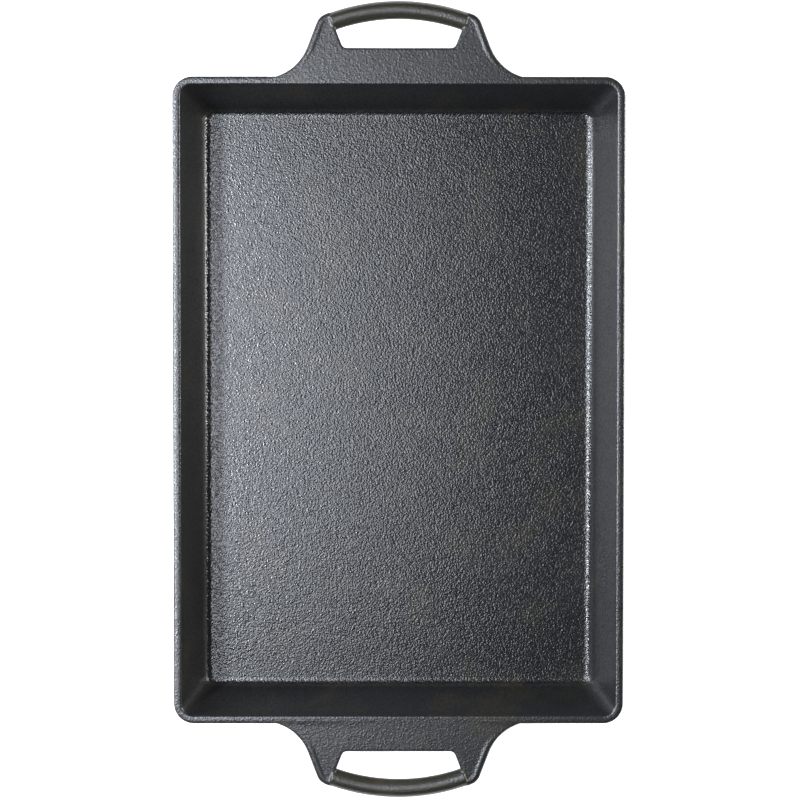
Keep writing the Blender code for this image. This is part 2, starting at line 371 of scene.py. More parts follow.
class BentRodTree:
    """Geometry Nodes tree: a round rod with closed ends along a path of points."""

    NAME = "bent_rod"
    SHARE = "rod_share"
    USUAL_RADIUS = 0.005
    USUAL_SIDES = 24

    def __init__(self) -> None:
        """Build the tree."""
        self.tree = bpy.data.node_groups.new(self.NAME, "GeometryNodeTree")
        add_sockets(self.tree, "INPUT", {
            "Path": ("NodeSocketGeometry", None),
            "Radius": ("NodeSocketFloat", self.USUAL_RADIUS),
            "Sides": ("NodeSocketInt", self.USUAL_SIDES),
            "Material": ("NodeSocketMaterial", None),
        })
        add_sockets(self.tree, "OUTPUT", {"Rod": ("NodeSocketGeometry", None)})
        build = NodeBuilder(self.tree)
        given = build.add("NodeGroupInput")
        curve = build.add("GeometryNodeMeshToCurve", inputs={"Mesh": given.outputs["Path"]})
        share = build.add("GeometryNodeInputNamedAttribute", {"data_type": "FLOAT"}, {
            "Name": self.SHARE,
        })
        sized = build.add("GeometryNodeSetCurveRadius", inputs={
            "Curve": curve.outputs["Curve"],
            "Radius": share.outputs["Attribute"],
        })
        section = build.add("GeometryNodeCurvePrimitiveCircle", {"mode": "RADIUS"}, {
            "Resolution": given.outputs["Sides"],
            "Radius": given.outputs["Radius"],
        })
        rod = build.add("GeometryNodeCurveToMesh", inputs={
            "Curve": sized.outputs["Curve"],
            "Profile Curve": section.outputs["Curve"],
            "Fill Caps": True,
        })
        merged = build.add("GeometryNodeMergeByDistance", inputs={
            "Geometry": rod.outputs["Mesh"],
            "Distance": SAME_PLACE,
        })
        realized = build.add("GeometryNodeRealizeInstances", inputs={
            "Geometry": merged.outputs["Geometry"],
        })
        dressed = build.add("GeometryNodeSetMaterial", inputs={
            "Geometry": realized.outputs["Geometry"],
            "Material": given.outputs["Material"],
        })
        build.add("NodeGroupOutput", inputs={"Rod": dressed.outputs["Geometry"]})

    def make(
        self, name: str, path: Ring, shares: list[float], radius: float, sides: int
    ) -> bpy.types.Object:
        """Make one rod.

        Args:
            name: Name of the rod.
            path: Points along its middle.
            shares: Share of the full radius at each point.
            radius: Full radius.
            sides: Faces around the rod.

        Returns:
            The rod as a plain closed mesh.
        """
        mesh = bpy.data.meshes.new(name)
        edges = [(index, index + 1) for index in range(len(path) - 1)]
        mesh.from_pydata([tuple(point) for point in path], edges, [])
        layer = mesh.attributes.new(self.SHARE, "FLOAT", "POINT")
        layer.data.foreach_set("value", shares)
        item = new_object(name, mesh)
        modifier = item.modifiers.new("Rod", "NODES")
        modifier.node_group = self.tree
        set_tree_inputs(modifier, {"Radius": radius, "Sides": sides})
        rod = with_modifiers_applied(item, name)
        bm = bmesh.new()
        bm.from_mesh(rod.data)
        bmesh.ops.recalc_face_normals(bm, faces=bm.faces)
        bm.to_mesh(rod.data)
        bm.free()
        return rod


@dataclass(frozen=True)
class SkinRelief:
    """Sizes of the raised and sunken places that the sand mould leaves on the iron."""

    pebble_size: float = 0.0030
    pebble_height: float = 0.00006
    grain_size: float = 0.0016
    grain_height: float = 0.00003
    wave_size: float = 0.0140
    wave_height: float = 0.00004
    seed: float = 7.0


class CastSkinTree:
    """Geometry Nodes tree: lifts and sinks a surface along its normals, as a sand mould does."""

    NAME = "cast_skin"
    NOISE_DETAIL = 1.0

    def __init__(self) -> None:
        """Build the tree."""
        self.tree = bpy.data.node_groups.new(self.NAME, "GeometryNodeTree")
        usual = SkinRelief()
        add_sockets(self.tree, "INPUT", {
            "Surface": ("NodeSocketGeometry", None),
            "Pebble Size": ("NodeSocketFloat", usual.pebble_size),
            "Pebble Height": ("NodeSocketFloat", usual.pebble_height),
            "Pebble Zone": ("NodeSocketString", Zone.FLOOR.value),
            "Grain Size": ("NodeSocketFloat", usual.grain_size),
            "Grain Height": ("NodeSocketFloat", usual.grain_height),
            "Wave Size": ("NodeSocketFloat", usual.wave_size),
            "Wave Height": ("NodeSocketFloat", usual.wave_height),
            "Seed": ("NodeSocketFloat", usual.seed),
            "Material": ("NodeSocketMaterial", None),
        })
        add_sockets(self.tree, "OUTPUT", {"Skin": ("NodeSocketGeometry", None)})
        self.build = NodeBuilder(self.tree)
        build = self.build
        given = build.add("NodeGroupInput")
        self.given = given
        zone = build.add("GeometryNodeInputNamedAttribute", {"data_type": "FLOAT"}, {
            "Name": given.outputs["Pebble Zone"],
        })
        pebbles = build.math("MULTIPLY", self.bumps("Pebble"), zone.outputs["Attribute"])
        rough = build.math("ADD", self.bumps("Grain"), self.bumps("Wave"))
        height = build.math("ADD", pebbles, rough)
        normal = build.add("GeometryNodeInputNormal")
        offset = build.add("ShaderNodeVectorMath", {"operation": "SCALE"}, {
            0: normal.outputs["Normal"],
            "Scale": height,
        })
        moved = build.add("GeometryNodeSetPosition", inputs={
            "Geometry": given.outputs["Surface"],
            "Offset": offset.outputs["Vector"],
        })
        smooth = build.add("GeometryNodeSetShadeSmooth", inputs={
            "Geometry": moved.outputs["Geometry"],
        })
        realized = build.add("GeometryNodeRealizeInstances", inputs={
            "Geometry": smooth.outputs["Geometry"],
        })
        dressed = build.add("GeometryNodeSetMaterial", inputs={
            "Geometry": realized.outputs["Geometry"],
            "Material": given.outputs["Material"],
        })
        build.add("NodeGroupOutput", inputs={"Skin": dressed.outputs["Geometry"]})

    def bumps(self, kind: str) -> bpy.types.NodeSocket:
        """Add bumps of one kind, from minus to plus the height that the input names.

        Args:
            kind: Pebble, Grain or Wave.

        Returns:
            How far each point is lifted.
        """
        build = self.build
        noise = build.add("ShaderNodeTexNoise", {"noise_dimensions": "4D"}, {
            "W": self.given.outputs["Seed"],
            "Scale": build.math("DIVIDE", 1.0, self.given.outputs[kind + " Size"]),
            "Detail": self.NOISE_DETAIL,
        })
        centred = build.math("MULTIPLY_ADD", noise.outputs[0], 2.0, -1.0)
        return build.math("MULTIPLY", centred, self.given.outputs[kind + " Height"])

    def lay_on(
        self, item: bpy.types.Object, relief: SkinRelief, material: bpy.types.Material
    ) -> bpy.types.Object:
        """Give a surface its cast skin.

        Args:
            item: Object to finish. It is removed.
            relief: Sizes of the relief.
            material: The iron.

        Returns:
            The finished piece as a plain mesh.
        """
        modifier = item.modifiers.new("Skin", "NODES")
        modifier.node_group = self.tree
        set_tree_inputs(modifier, {
            "Pebble Size": relief.pebble_size,
            "Pebble Height": relief.pebble_height,
            "Grain Size": relief.grain_size,
            "Grain Height": relief.grain_height,
            "Wave Size": relief.wave_size,
            "Wave Height": relief.wave_height,
            "Seed": relief.seed,
            "Material": material,
        })
        name = item.name
        item.name = name + "_bare"
        return with_modifiers_applied(item, name)


@dataclass
class Tray:
    """The tray: floor, four sloping walls, rim and outside, with a lap of both handle plates."""

    rim_width: float = 0.2755
    rim_length: float = 0.3950
    height: float = 0.0500
    floor_thickness: float = 0.0050
    rim_land: float = 0.0049
    draft: float = math.radians(11.5)
    outer_corner_radius: float = 0.0122
    inner_corner_radius: float = 0.0073
    floor_corner_radius: float = 0.0021
    floor_fillet: float = 0.0045
    base_rounding: float = 0.0055
    rim_outer_rounding: float = 0.0013
    rim_inner_rounding: float = 0.0009
    rim_crown: float = 0.00012
    crown_shares: tuple[float, ...] = (0.25, 0.5, 0.75)
    plane_distance: float = 0.0020
    root_start: float = 0.0120
    root_full: float = 0.0060
    root_half_width: float = 0.0740
    root_half_end: float = 0.0860
    zone_lap: float = 0.0009
    zone_depth: float = 0.0010
    floor_zone_full: float = 0.0012
    floor_zone_end: float = 0.0024
    wall_zone_full: float = 0.0016
    wall_zone_end: float = 0.0004

    cells_across: int = 192
    cells_along: int = 288
    corner_steps: int = 4
    fillet_steps: int = 7
    wall_steps: int = 7
    rim_steps: int = 4
    outer_corner_steps: int = 14
    rounding_steps: int = 5
    outside_cell: float = 0.0045
    cut_shift_share: float = 0.003

    @property
    def slope(self) -> float:
        """How far the walls lean out for each metre of height."""
        return math.tan(self.draft)

    @property
    def rim_end(self) -> float:
        """Distance of the rim's short ends from the middle."""
        return self.rim_length / 2

    @property
    def handle_plane(self) -> float:
        """Distance from the middle of the planes where the handles are divided from the tray."""
        return self.rim_end + self.plane_distance

    def tapered_block(self) -> bpy.types.Object:
        """Make a solid block of the outside shape, left taller than the rim.

        Returns:
            The block, narrower at the bottom by the draft, with its edges rounded.
        """
        top = self.height + CUT_CLEARANCE
        bm = bmesh.new()
        bmesh.ops.create_cube(bm, size=1.0)
        for vert in bm.verts:
            vert.co.z = 0.0 if vert.co.z < 0 else top
            widening = (vert.co.z - self.height) * self.slope
            vert.co.x = math.copysign(self.rim_width / 2 + widening, vert.co.x)
            vert.co.y = math.copysign(self.rim_length / 2 + widening, vert.co.y)
        upright = [edge for edge in bm.edges if edge.verts[0].co.z != edge.verts[1].co.z]
        round_edges(bm, upright, self.outer_corner_radius, self.outer_corner_steps)
        foot = [edge for edge in bm.edges if is_level(edge, 0.0)]
        round_edges(bm, foot, self.base_rounding, self.rounding_steps)
        return object_from_bmesh("tray_block", bm)

    def ring(self, half_width: float, half_length: float, radius: float, height: float) -> Ring:
        """Points of one closed loop around the inside, in the same order at every height.

        Args:
            half_width: Half of the loop's width.
            half_length: Half of the loop's length.
            radius: Radius of its corners.
            height: Height of the loop.

        Returns:
            The points, anticlockwise from the middle of the corner at minus X, minus Y.
        """
        middle_x = half_width - radius
        middle_y = half_length - radius
        turn = math.pi / 4 / self.corner_steps
        points = []
        sides = (
            (self.cells_across, -middle_x, -middle_y, middle_x, -middle_y),
            (self.cells_along, middle_x, -middle_y, middle_x, middle_y),
            (self.cells_across, middle_x, middle_y, -middle_x, middle_y),
            (self.cells_along, -middle_x, middle_y, -middle_x, -middle_y),
        )
        for number, (cells, from_x, from_y, to_x, to_y) in enumerate(sides):
            outward = (number - 1) * math.pi / 2
            for step in range(self.corner_steps):
                angle = outward - math.pi / 4 + turn * step
                points.append(Vector((
                    from_x + radius * math.cos(angle), from_y + radius * math.sin(angle), height
                )))
            straight = cells - 2 * self.corner_steps
            shift_x = radius * math.cos(outward)
            shift_y = radius * math.sin(outward)
            for step in range(straight + 1):
                share = step / straight
                points.append(Vector((
                    from_x + (to_x - from_x) * share + shift_x,
                    from_y + (to_y - from_y) * share + shift_y,
                    height,
                )))
            for step in range(1, self.corner_steps):
                angle = outward + turn * step
                points.append(Vector((
                    to_x + radius * math.cos(angle), to_y + radius * math.sin(angle), height
                )))
        return points

    def inside_profile(self) -> list[tuple[float, float, float]]:
        """Section of the inside, from the edge of the flat floor up to the rim's land.

        Returns:
            For each loop, how far it lies inside the rim's inner edge, its corner radius and
            its height.
        """
        half_corner = (math.pi / 2 + self.draft) / 2
        depth = self.height - self.floor_thickness
        corner_inset = depth * self.slope
        fillet_radius = self.floor_fillet * math.tan(half_corner)
        fillet_turn = math.pi - 2 * half_corner
        loops = []
        fillet_reach = fillet_radius * math.sin(fillet_turn)
        shrink = (self.inner_corner_radius - self.floor_corner_radius) / fillet_reach
        for step in range(self.fillet_steps + 1):
            turn = fillet_turn * step / self.fillet_steps
            out = fillet_radius * math.sin(turn)
            height = self.floor_thickness + fillet_radius * (1 - math.cos(turn))
            radius = self.floor_corner_radius + out * shrink
            loops.append((corner_inset + self.floor_fillet - out, radius, height))
        rounding_radius = self.rim_inner_rounding * math.tan(half_corner)
        wall_low = loops[-1][2]
        wall_high = self.height - self.rim_inner_rounding * math.cos(self.draft)
        for step in range(1, self.wall_steps + 1):
            height = wall_low + (wall_high - wall_low) * step / self.wall_steps
            loops.append(((self.height - height) * self.slope, self.inner_corner_radius, height))
        for step in range(1, self.rim_steps + 1):
            turn = fillet_turn * (1 - step / self.rim_steps)
            out = self.rim_inner_rounding - rounding_radius * math.sin(turn)
            height = self.height - rounding_radius * (1 - math.cos(turn))
            loops.append((-out, self.inner_corner_radius + max(0.0, out), height))
        return loops

    def floor_grid(self, bm: bmesh.types.BMesh, border: list[bmesh.types.BMVert]) -> None:
        """Fill the flat floor inside its border loop with a grid of faces.

        Args:
            bm: Mesh that takes the grid.
            border: Vertices of the floor's border loop.
        """
        across = self.cells_across
        along = self.cells_along
        bottom = border[: across + 1]
        right = border[across : across + along + 1]
        top = list(reversed(border[across + along : 2 * across + along + 1]))
        left = list(reversed(border[2 * across + along :] + [border[0]]))
        rows = []
        for j in range(along + 1):
            v = j / along
            row = []
            for i in range(across + 1):
                u = i / across
                if j == 0:
                    row.append(bottom[i])
                elif j == along:
                    row.append(top[i])
                elif i == 0:
                    row.append(left[j])
                elif i == across:
                    row.append(right[j])
                else:
                    ends = bottom[i].co * (1 - v) + top[i].co * v
                    sides = left[j].co * (1 - u) + right[j].co * u
                    low = bottom[0].co * (1 - u) + bottom[-1].co * u
                    high = top[0].co * (1 - u) + top[-1].co * u
                    row.append(bm.verts.new(ends + sides - low * (1 - v) - high * v))
            rows.append(row)
        for lower, upper in zip(rows, rows[1:]):
            for i in range(across):
                bm.faces.new((lower[i], lower[i + 1], upper[i + 1], upper[i]))

    def plate_share(self, place: Vector) -> float:
        """Say how far a place on the rim lies within a handle's root, from 0 to 1.

        Args:
            place: The place.

        Returns:
            1 within the root, 0 away from it.
        """
        near_end = smooth_step(
            abs(place.y), self.rim_end - self.root_start, self.rim_end - self.root_full
        )
        past_side = smooth_step(abs(place.x), self.root_half_width, self.root_half_end)
        return near_end * (1.0 - past_side)

    def add_inside(self, bm: bmesh.types.BMesh) -> list[bmesh.types.BMVert]:
        """Add the inside, from the floor to the first loop on the rim's land.

        Args:
            bm: Mesh that takes the inside.

        Returns:
            Vertices of the outermost loop, on the land.
        """
        half_width = self.rim_width / 2 - self.rim_land
        half_length = self.rim_length / 2 - self.rim_land
        loops = []
        for inset, radius, height in self.inside_profile():
            points = self.ring(half_width - inset, half_length - inset, radius, height)
            loops.append([bm.verts.new(point) for point in points])
        land_start = self.rim_inner_rounding
        land_width = self.rim_land - self.rim_outer_rounding - land_start
        for share in self.crown_shares:
            out = land_start + land_width * share
            points = self.ring(
                half_width + out, half_length + out, self.inner_corner_radius + out, self.height
            )
            rise = self.rim_crown * 4.0 * share * (1.0 - share)
            for point in points:
                point.z += rise * (1.0 - self.plate_share(point))
            loops.append([bm.verts.new(point) for point in points])
        self.floor_grid(bm, loops[0])
        for lower, upper in zip(loops, loops[1:]):
            for index in range(len(lower)):
                after = (index + 1) % len(lower)
                bm.faces.new((lower[index], lower[after], upper[after], upper[index]))
        return loops[-1]

    def cut_into_cells(self, bm: bmesh.types.BMesh) -> None:
        """Divide the outside's long faces, so that the cast skin has points to lift.

        Args:
            bm: Mesh of the outside.
        """
        reach = (self.rim_width / 2, self.handle_plane, self.height)
        for axis in range(3):
            low = 0.0 if axis == 2 else -reach[axis]
            count = round((reach[axis] - low) / self.outside_cell)
            normal = Vector((0.0, 0.0, 0.0))
            normal[axis] = 1.0
            for step in range(1, count):
                place = Vector((0.0, 0.0, 0.0))
                share = (step + self.cut_shift_share) / count
                place[axis] = low + (reach[axis] - low) * share
                bmesh.ops.bisect_plane(
                    bm,
                    geom=bm.verts[:] + bm.edges[:] + bm.faces[:],
                    dist=TRIM_TOLERANCE,
                    plane_co=place,
                    plane_no=normal,
                )

    def build(self, rounded_block: bpy.types.Object) -> bpy.types.Object:
        """Make the tray of the casting's rounded outside and its own inside.

        Args:
            rounded_block: Outside of the whole casting, solid, with its rim rounded.

        Returns:
            The tray, closed, with its zones marked.
        """
        bm = bmesh.new()
        bm.from_mesh(rounded_block.data)
        for side in (1.0, -1.0):
            cut_and_cap(bm, Vector((0.0, side * self.handle_plane, 0.0)), Vector((0.0, side, 0.0)))
        level_top = [face for face in bm.faces if is_level(face, self.height)]
        bmesh.ops.delete(bm, geom=level_top, context="FACES")
        self.cut_into_cells(bm)
        outer_loop = [edge for edge in bm.edges if edge.is_boundary]
        inner_verts = set(self.add_inside(bm))
        inner_loop = [
            edge for edge in bm.edges
            if edge.is_boundary and edge.verts[0] in inner_verts and edge.verts[1] in inner_verts
        ]
        bmesh.ops.triangle_fill(
            bm, use_beauty=True, use_dissolve=False, edges=outer_loop + inner_loop
        )
        bmesh.ops.recalc_face_normals(bm, faces=bm.faces)
        tray = object_from_bmesh("tray_casting", bm)
        self.mark_zones(tray.data)
        return tray

    def mark_zones(self, mesh: bpy.types.Mesh) -> None:
        """Mark the floor and the inner walls.

        Args:
            mesh: The tray's mesh.
        """
        half_width = self.rim_width / 2 - self.rim_land
        half_length = self.rim_length / 2 - self.rim_land
        floor = []
        wall = []
        for vert in mesh.vertices:
            place = vert.co
            inset = (self.height - place.z) * self.slope
            inside = (
                place.z > self.floor_thickness - self.zone_depth
                and abs(place.x) < half_width - inset + self.zone_lap
                and abs(place.y) < half_length - inset + self.zone_lap
            )
            above_floor = place.z - self.floor_thickness
            not_floor = smooth_step(above_floor, self.floor_zone_full, self.floor_zone_end)
            under_rim = smooth_step(
                self.height - place.z, self.wall_zone_end, self.wall_zone_full
            )
            floor.append(1.0 - not_floor if inside else 0.0)
            wall.append(not_floor * under_rim if inside else 0.0)
        write_zone(mesh, Zone.FLOOR, floor)
        write_zone(mesh, Zone.WALL, wall)
        write_zone(mesh, Zone.GRIP, [0.0] * len(floor))


def cut_and_cap(bm: bmesh.types.BMesh, place: Vector, normal: Vector) -> None:
    """Cut a closed mesh at a plane, drop what lies beyond it and close the cut.

    Args:
        bm: Mesh to cut.
        place: Point of the plane.
        normal: Direction of the side that is dropped.
    """
    bmesh.ops.bisect_plane(
        bm,
        geom=bm.verts[:] + bm.edges[:] + bm.faces[:],
        dist=TRIM_TOLERANCE,
        plane_co=place,
        plane_no=normal,
        clear_outer=True,
    )
    open_edges = [edge for edge in bm.edges if edge.is_boundary]
    bmesh.ops.contextual_create(bm, geom=open_edges)


@dataclass
class Handle:
    """A looped handle: a flat plate with two arms, a round grip bar and a bead along each arm."""

    tray: Tray
    grip_reach: float = 0.0460
    grip_diameter: float = 0.0110
    grip_arc_radius: float = 0.1208
    grip_rise: float = 0.0015
    grip_side_rise: float = 0.0003
    plate_thickness: float = 0.0065
    plate_rounding: float = 0.0014
    arm_half_width: float = 0.0622
    arm_slope: float = math.radians(20.9)
    arm_width: float = 0.0218
    arm_lap: float = 0.0012
    shoulder_width: float = 0.00576
    shoulder_radius: float = 0.0090
    flare_radius: float = 0.0300
    flare_sink: float = 0.0015
    flare_runout: float = 0.0080
    opening_distance: float = 0.0171
    opening_corner_radius: float = 0.0033
    bead_radius: float = 0.0030
    bead_rise: float = 0.0004
    bead_side_rise: float = 0.0003
    bead_sink: float = 0.0003
    bead_lap: float = 0.0005
    bead_start_share: float = 0.8
    bead_level_share: float = 0.45
    root_fillet_radius: float = 0.0080
    root_sink: float = 0.0003
    root_lap: float = 0.0010
    bead_polish: float = 0.3
    bead_zone_start: float = 0.0001
    bead_zone_full: float = 0.0006
    grip_zone_share: float = 0.50
    grip_zone_end_share: float = 0.62
    grip_zone_turn: float = 0.02

    arc_steps: int = 12
    flare_steps: int = 14
    grip_steps: int = 72
    grip_sides: int = 40
    bead_sides: int = 24
    voxel: float = 0.00045
    smoothing: int = 5
    smoothing_share: float = 0.5
    remesh_margin: float = 0.0030

    @property
    def underside(self) -> float:
        """Height of the plate's underside."""
        return self.tray.height - self.plate_thickness

    @property
    def outer_radius(self) -> float:
        """Radius of the grip's outer side."""
        return self.grip_arc_radius + self.grip_diameter / 2

    @property
    def arc_centre(self) -> float:
        """Distance of the grip arc's centre from the middle of the pan."""
        return self.tray.rim_end + self.grip_reach - self.outer_radius

    @property
    def grip_height(self) -> float:
        """Height of the middle of the grip bar."""
        return self.tray.height + self.grip_rise - self.grip_diameter / 2

    def on_arc(self, radius: float, angle: float) -> Vector:
        """Place on an arc about the grip's centre, at an angle from the pan's long axis."""
        return Vector((radius * math.sin(angle), self.arc_centre + radius * math.cos(angle)))

    def shoulder_corner(self) -> Vector:
        """Corner where the line of the arm's outer side meets the grip's outer arc.

        Returns:
            The corner, right of the long axis.
        """
        foot = Vector((self.arm_half_width, self.tray.rim_end))
        rising = Vector((-math.sin(self.arm_slope), math.cos(self.arm_slope)))
        from_centre = foot - Vector((0.0, self.arc_centre))
        along = from_centre.dot(rising)
        gap = from_centre.length_squared - (self.outer_radius - self.grip_side_rise) ** 2
        return foot + rising * (math.sqrt(along ** 2 - gap) - along)

    def bar_angle(self, lap: float) -> float:
        """Angle of a place in the grip bar, a lap short of its end.

        Args:
            lap: How far the place lies from the end.

        Returns:
            The angle from the pan's long axis.
        """
        shoulder = self.shoulder_corner()
        shoulder_angle = math.atan2(shoulder.x, shoulder.y - self.arc_centre)
        return shoulder_angle - self.shoulder_width / self.outer_radius - lap / self.grip_arc_radius

    def arm_side(self, lap: float) -> Ring:
        """Outer side of the right arm: from the grip, round the shoulder and out along the flare.

        Args:
            lap: How far the path starts inside the grip bar.

        Returns:
            The points of the path.
        """
        end = self.on_arc(self.outer_radius - self.grip_side_rise, self.bar_angle(lap))
        shoulder = self.shoulder_corner()
        sunk = self.flare_sink * math.tan(self.arm_slope)
        flare = Vector((self.arm_half_width + sunk, self.tray.rim_end - self.flare_sink))
        along_rim = flare + Vector((self.flare_radius, 0.0))
        points = [end]
        points += rounded_corner(end, shoulder, flare, self.shoulder_radius, self.arc_steps)
        points += rounded_corner(shoulder, flare, along_rim, self.flare_radius, self.flare_steps)
        return points

    def plate_outline(self) -> Ring:
        """Closed outline of the plate and its two arms, open where the grip bar bridges them.

        Returns:
            The points of the outline.
        """
        inner_radius = self.grip_arc_radius - self.grip_diameter / 2 + self.grip_side_rise
        arm_end = self.on_arc(inner_radius, self.bar_angle(self.arm_lap))
        opening_half_width = (
            self.arm_half_width - self.opening_distance * math.tan(self.arm_slope) - self.arm_width
        )
        opening_side = Vector((opening_half_width, self.tray.rim_end + self.opening_distance))
        right = rounded_corner(
            Vector((0.0, opening_side.y)), opening_side, arm_end,
            self.opening_corner_radius, self.arc_steps // 2,
        )
        right.append(arm_end)
        right += self.arm_side(self.arm_lap)
        inside_rim = self.tray.rim_end - self.tray.rim_land
        right.append(Vector((right[-1].x + self.flare_runout, inside_rim)))
        left = [Vector((-point.x, point.y)) for point in reversed(right)]
        return right + left

    def plate(self) -> bpy.types.Object:
        """Plate, taller than the rim, with a concave fillet under it at the tray's wall.

        Returns:
            The plate, solid.
        """
        tray = self.tray
        low = self.underside - self.root_fillet_radius - self.root_lap
        high = tray.height + CUT_CLEARANCE / 2
        plate = prism("handle_plate", self.plate_outline(), low, high)
        wall = tray.rim_end - self.root_sink - self.plate_thickness * tray.slope
        past_grip = tray.rim_end + 2 * self.grip_reach
        corner = Vector((wall, self.underside))
        far = Vector((past_grip, self.underside))
        foot = Vector((wall - self.underside * tray.slope, 0.0))
        section = [far]
        section += rounded_corner(far, corner, foot, self.root_fillet_radius, self.arc_steps)
        section += [foot, Vector((past_grip, 0.0))]
        half_span = 2 * tray.rim_width
        scoop = prism("plate_scoop", section, -half_span, half_span)
        across = Matrix(((0, 0, 1, 0), (1, 0, 0, 0), (0, 1, 0, 0), (0, 0, 0, 1)))
        scoop.data.transform(across)
        return combined("handle_plate", plate, [scoop], "DIFFERENCE")

    def grip_bar(self, rods: BentRodTree) -> bpy.types.Object:
        """Round bar that bridges the two arms.

        Args:
            rods: The tree that makes rods.

        Returns:
            The bar.
        """
        half_angle = self.bar_angle(0.0)
        path = []
        for step in range(self.grip_steps + 1):
            angle = half_angle * (2 * step / self.grip_steps - 1)
            place = self.on_arc(self.grip_arc_radius, angle)
            path.append(Vector((place.x, place.y, self.grip_height)))
        shares = [1.0] * len(path)
        return rods.make("grip_bar", path, shares, self.grip_diameter / 2, self.grip_sides)

    def bead_path(self, side: Side) -> Ring:
        """Middle of the raised edge of one arm, which sinks into the plate along the flare.

        Args:
            side: Side of the long axis.

        Returns:
            The points of the path.
        """
        outer = self.arm_side(self.bead_lap)
        flat = []
        for index, point in enumerate(outer):
            before = outer[max(index - 1, 0)]
            after = outer[min(index + 1, len(outer) - 1)]
            along = (after - before).normalized()
            inset = self.bead_radius - self.bead_side_rise
            flat.append(point + Vector((along.y, -along.x)) * inset)
        flat = flat[: len(flat) - self.flare_steps // 3]
        lengths = [0.0]
        for before, after in zip(flat, flat[1:]):
            lengths.append(lengths[-1] + (after - before).length)
        top = self.tray.height + self.bead_rise - self.bead_radius
        path = []
        for point, length in zip(flat, lengths):
            past_level = max(0.0, length / lengths[-1] - self.bead_level_share)
            drop = (self.bead_rise + self.bead_sink) * past_level / (1.0 - self.bead_level_share)
            path.append(Vector((side.value * point.x, point.y, top - drop)))
        return path

    def edge_bead(self, side: Side, rods: BentRodTree) -> bpy.types.Object:
        """Raised edge of one arm.

        Args:
            side: Side of the long axis.
            rods: The tree that makes rods.

        Returns:
            The bead.
        """
        path = self.bead_path(side)
        shares = [self.bead_start_share] + [1.0] * (len(path) - 1)
        name = "edge_bead_" + side.name.lower()
        return rods.make(name, path, shares, self.bead_radius, self.bead_sides)

    def build(self, rounded_block: bpy.types.Object, rods: BentRodTree) -> bpy.types.Object:
        """Make the back handle, softened where its forms run into each other.

        Args:
            rounded_block: Outside of the whole casting, solid, with its rim rounded.
            rods: The tree that makes rods.

        Returns:
            The handle, closed, cut off at the plane that divides it from the tray.
        """
        plane = self.tray.handle_plane
        bm = bmesh.new()
        bm.from_mesh(rounded_block.data)
        back = Vector((0.0, -1.0, 0.0))
        cut_and_cap(bm, Vector((0.0, plane - self.remesh_margin, 0.0)), back)
        body = object_from_bmesh("handle_body", bm)
        beads = [self.edge_bead(side, rods) for side in Side]
        joined = combined("handle_joined", body, [self.grip_bar(rods)] + beads, "UNION")
        remesh = joined.modifiers.new("Remesh", "REMESH")
        remesh.mode = "VOXEL"
        remesh.voxel_size = self.voxel
        smooth = joined.modifiers.new("Smooth", "SMOOTH")
        smooth.factor = self.smoothing_share
        smooth.iterations = self.smoothing
        soft = with_modifiers_applied(joined, "handle_soft")
        bm = bmesh.new()
        bm.from_mesh(soft.data)
        cut_and_cap(bm, Vector((0.0, plane, 0.0)), back)
        bmesh.ops.recalc_face_normals(bm, faces=bm.faces)
        discard(soft)
        return object_from_bmesh("handle_back_casting", bm)

    def turned(self, handle: bpy.types.Object) -> bpy.types.Object:
        """Copy the back handle for the front, turned half round about the upright axis.

        Args:
            handle: The back handle.

        Returns:
            The front handle.
        """
        copy = new_object("handle_front_casting", handle.data.copy())
        copy.data.transform(Matrix.Rotation(math.pi, 4, "Z"))
        return copy

    def mark_zones(self, mesh: bpy.types.Mesh) -> None:
        """Mark the grip bar and the beads, which hands rub.

        Args:
            mesh: Mesh of a back or front handle.
        """
        half_angle = self.bar_angle(0.0)
        grip = []
        for vert in mesh.vertices:
            from_centre = Vector((abs(vert.co.x), abs(vert.co.y) - self.arc_centre))
            angle = math.atan2(from_centre.x, from_centre.y)
            away = abs(from_centre.length - self.grip_arc_radius)
            off_bar = smooth_step(
                away / self.grip_diameter, self.grip_zone_share, self.grip_zone_end_share
            )
            past_bar = smooth_step(angle, half_angle, half_angle + self.grip_zone_turn)
            on_bead = smooth_step(
                vert.co.z - self.tray.height, self.bead_zone_start, self.bead_zone_full
            )
            on_bar = (1.0 - off_bar) * (1.0 - past_bar)
            grip.append(max(on_bar, self.bead_polish * on_bead))
        write_zone(mesh, Zone.GRIP, grip)
        write_zone(mesh, Zone.FLOOR, [0.0] * len(grip))
        write_zone(mesh, Zone.WALL, [0.0] * len(grip))


@dataclass
class Casting:
    """The whole pan as it is poured, before it is divided into the tray and its handles."""

    tray: Tray
    handle: Handle

    def rounded_block(self) -> bpy.types.Object:
        """Outside of the casting as one solid: the block with both handle plates, rounded.

        Returns:
            The solid, level at the rim.
        """
        plate = self.handle.plate()
        front = new_object("handle_plate_front", plate.data.copy())
        front.data.transform(Matrix.Rotation(math.pi, 4, "Z"))
        block = combined("whole_block", self.tray.tapered_block(), [plate, front], "UNION")
        bm = bmesh.new()
        bm.from_mesh(block.data)
        discard(block)
        cut_and_cap(bm, Vector((0.0, 0.0, self.tray.height)), Vector((0.0, 0.0, 1.0)))
        bm.normal_update()
        rim = border_edges(bm, self.tray.height)
        underside = border_edges(bm, self.handle.underside)
        round_edges(bm, rim, self.tray.rim_outer_rounding, self.tray.rounding_steps)
        round_edges(bm, underside, self.handle.plate_rounding, self.tray.rounding_steps)
        return object_from_bmesh("rounded_block", bm)


@dataclass(frozen=True)
class ZoneFinish:
    """Finish of one zone of the seasoned iron. Sizes and heights are in metres."""

    colour: Colour
    roughness: float
    grain_size: float
    grain_height: float
    detail: float
    sharpness: float
    pit_share: float


